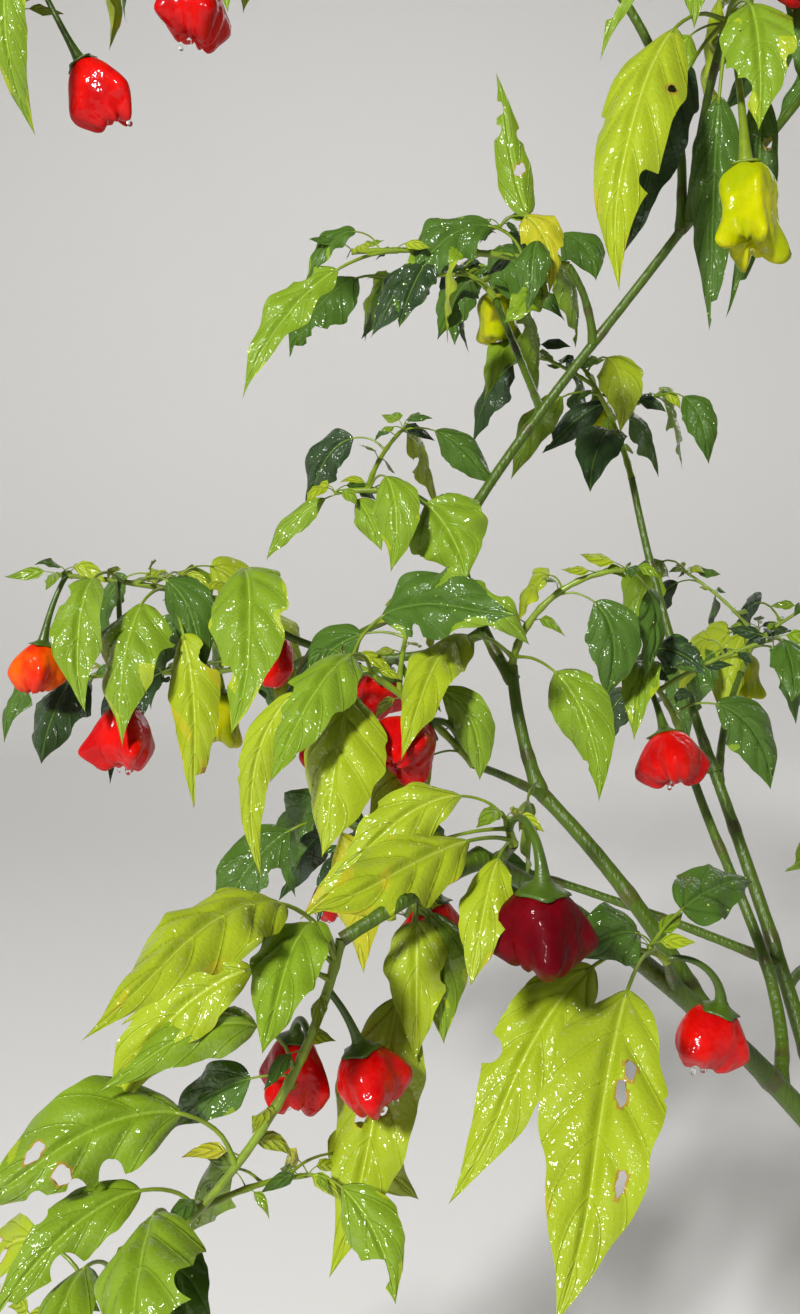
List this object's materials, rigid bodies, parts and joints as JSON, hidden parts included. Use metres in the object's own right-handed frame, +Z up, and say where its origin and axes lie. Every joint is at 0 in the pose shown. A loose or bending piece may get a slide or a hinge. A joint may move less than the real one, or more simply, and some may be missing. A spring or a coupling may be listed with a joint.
{
  "type": "chilli pepper plant",
  "caption": "Bushy chilli pepper plant: a forking green stem from the ground, drooping long-tipped leaves and squat lobed bell-shaped hanging fruit.",
  "frame": {"origin": "middle of the flat cut under the main stem, at ground level", "axes": "+Z up; -Y towards the side that the picture shows; +X to that view's right"},
  "size_m": [0.9649, 0.6966, 1.0559],
  "materials": {
    "woody_stem": "matt bark",
    "green_stem": "smooth satin",
    "foliage": "satin leaves"
  },
  "bodies": {
    "root": {"main_stem": "woody_stem", "back_bough": "green_stem", "back_left_bough": "green_stem", "back_low_bough": "green_stem", "back_middle_bough": "green_stem", "back_top_bough": "green_stem", "centre_bough": "green_stem", "crook_bough": "green_stem", "far_left_bough": "green_stem", "fork_bough": "green_stem", "front_bough": "green_stem", "hanging_bough": "green_stem", "heart_bough": "green_stem", "inner_bough": "green_stem", "leafy_bough": "green_stem", "left_back_bough": "green_stem", "low_bough": "green_stem", "low_left_bough": "green_stem", "middle_bough": "green_stem", "near_right_bough": "green_stem", "right_back_bough": "green_stem", "right_bough": "green_stem", "right_far_bough": "green_stem", "right_front_bough": "green_stem", "right_low_bough": "green_stem", "right_top_bough": "green_stem", "top_left_bough": "green_stem", "top_right_bough": "green_stem", "upper_back_bough": "green_stem", "upper_bough": "green_stem", "upper_far_bough": "green_stem", "upper_left_bough": "green_stem", "arch_spray": "foliage", "back_left_spray": "foliage", "back_low_spray": "foliage", "back_middle_spray": "foliage", "back_top_spray": "foliage", "centre_spray": "foliage", "far_left_spray": "foliage", "fork_spray": "foliage", "front_spray": "foliage", "hanging_spray": "foliage", "heart_spray": "foliage", "inner_spray": "foliage", "left_back_spray": "foliage", "low_left_spray": "foliage", "near_right_spray": "foliage", "right_back_spray": "foliage", "right_far_spray": "foliage", "right_front_spray": "foliage", "right_low_spray": "foliage", "right_top_spray": "foliage", "top_left_spray": "foliage", "upper_back_spray": "foliage", "upper_far_spray": "foliage", "upper_left_spray": "foliage", "upper_right_spray": "foliage"}
  },
  "joints": []
}
